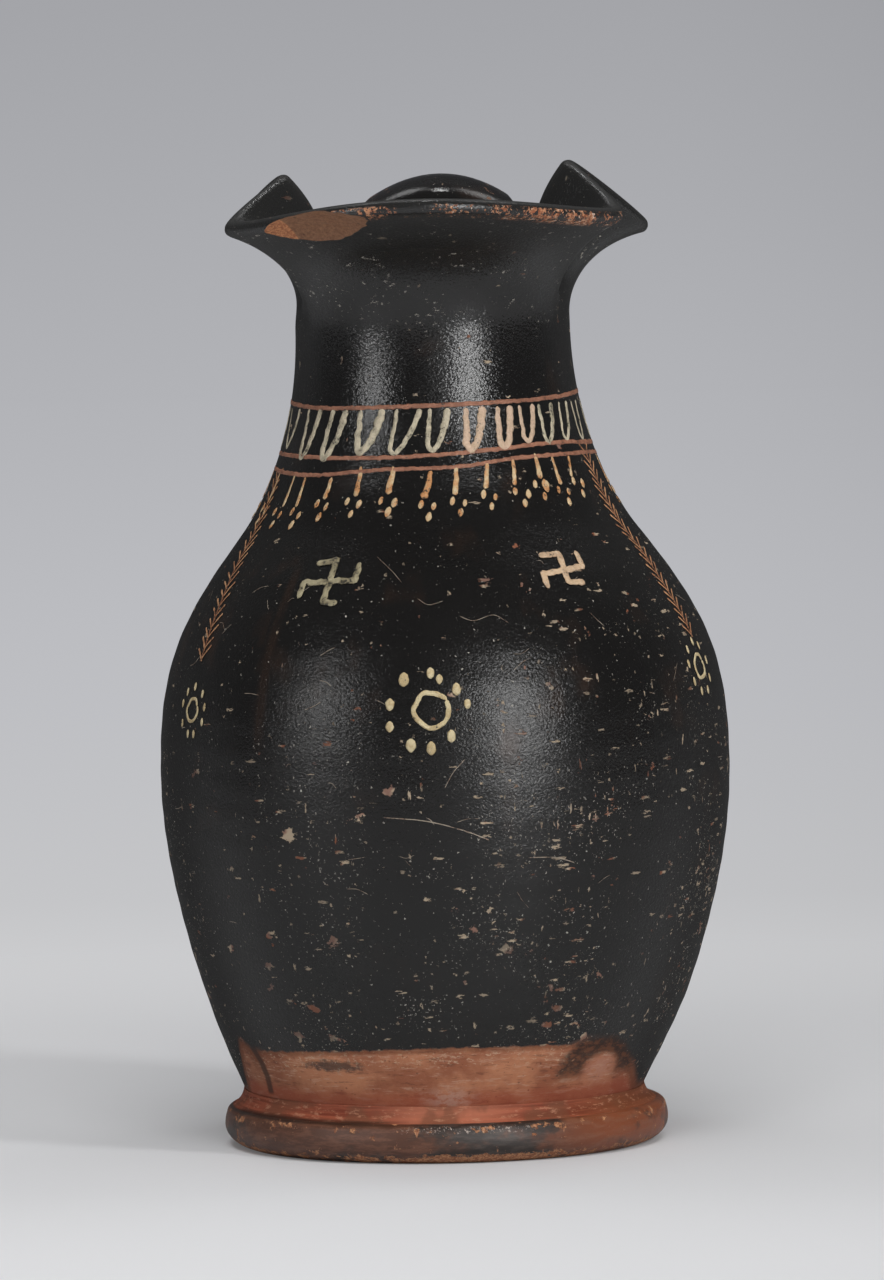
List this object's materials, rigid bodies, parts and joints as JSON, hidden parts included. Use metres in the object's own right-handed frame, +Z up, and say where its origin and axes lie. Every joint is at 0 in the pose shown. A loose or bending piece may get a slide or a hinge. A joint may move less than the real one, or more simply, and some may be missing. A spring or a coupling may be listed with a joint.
{
  "type": "oinochoe",
  "caption": "Black-glazed clay wine jug: ovoid body on a low ring foot, flaring neck with a pinched trefoil mouth, and a strap handle from lip to shoulder.",
  "frame": {"origin": "centre of the bounding box on the table plane under the foot", "axes": "+Z up along the jug, -Y towards the spout, +Y towards the handle"},
  "size_m": [0.1143, 0.1244, 0.1965],
  "materials": {
    "foot_clay": "worn brown-black glaze over fired orange clay",
    "bare_clay": "reserved matt terracotta",
    "body_glaze": "black gloss, worn and speckled, with cream and brown painted ornament",
    "inner_clay": "matt clay, glaze run inside the neck",
    "neck_glaze": "black gloss with a chipped lip",
    "handle_glaze": "black gloss"
  },
  "bodies": {
    "root": {"foot": "foot_clay", "foot_luting_coil": "bare_clay", "body": "body_glaze", "neck_luting_coil": "inner_clay", "neck_and_mouth": "neck_glaze", "handle": "handle_glaze", "handle_upper_coil": "handle_glaze", "handle_lower_coil": "handle_glaze"}
  },
  "joints": []
}
